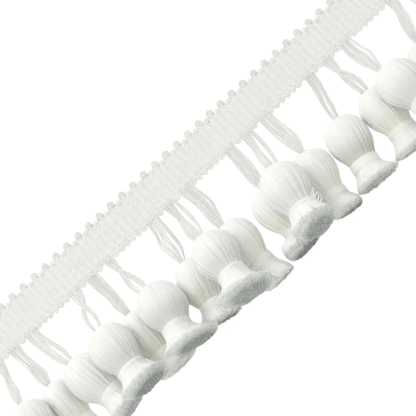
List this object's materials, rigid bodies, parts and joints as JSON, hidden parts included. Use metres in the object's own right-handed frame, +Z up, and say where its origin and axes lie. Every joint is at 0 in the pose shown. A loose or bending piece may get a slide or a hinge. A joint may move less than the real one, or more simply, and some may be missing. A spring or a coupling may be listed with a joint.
{
  "type": "tassel fringe trim",
  "caption": "Straight length of white fringe trim: a woven heading with a picot edge, and yarn tassels with onion heads, bound necks and cut skirts hanging from it in groups, laid flat.",
  "frame": {"origin": "middle of the back face of the woven heading", "axes": "+X along the heading, +Y from the tassels to the picot edge, +Z up out of the face, away from the surface the trim lies on"},
  "size_m": [0.2028, 0.0562, 0.0308],
  "materials": {
    "heading_braid": "matt white woven cotton and rayon braid",
    "tassel_yarn": "soft white rayon and cotton yarn",
    "neck_binding": "fine white thread, wound side by side"
  },
  "bodies": {
    "root": {"heading": "heading_braid", "tassel_01": "tassel_yarn", "tie_01": "neck_binding", "tassel_02": "tassel_yarn", "tie_02": "neck_binding", "tassel_03": "tassel_yarn", "tie_03": "neck_binding", "tassel_04": "tassel_yarn", "tie_04": "neck_binding", "tassel_05": "tassel_yarn", "tie_05": "neck_binding", "tassel_06": "tassel_yarn", "tie_06": "neck_binding", "tassel_07": "tassel_yarn", "tie_07": "neck_binding", "tassel_08": "tassel_yarn", "tie_08": "neck_binding", "tassel_09": "tassel_yarn", "tie_09": "neck_binding", "tassel_10": "tassel_yarn", "tie_10": "neck_binding", "tassel_11": "tassel_yarn", "tie_11": "neck_binding", "tassel_12": "tassel_yarn", "tie_12": "neck_binding", "tassel_13": "tassel_yarn", "tie_13": "neck_binding", "tassel_14": "tassel_yarn", "tie_14": "neck_binding", "tassel_15": "tassel_yarn", "tie_15": "neck_binding", "tassel_16": "tassel_yarn", "tie_16": "neck_binding", "tassel_17": "tassel_yarn", "tie_17": "neck_binding", "tassel_18": "tassel_yarn", "tie_18": "neck_binding"}
  },
  "joints": []
}
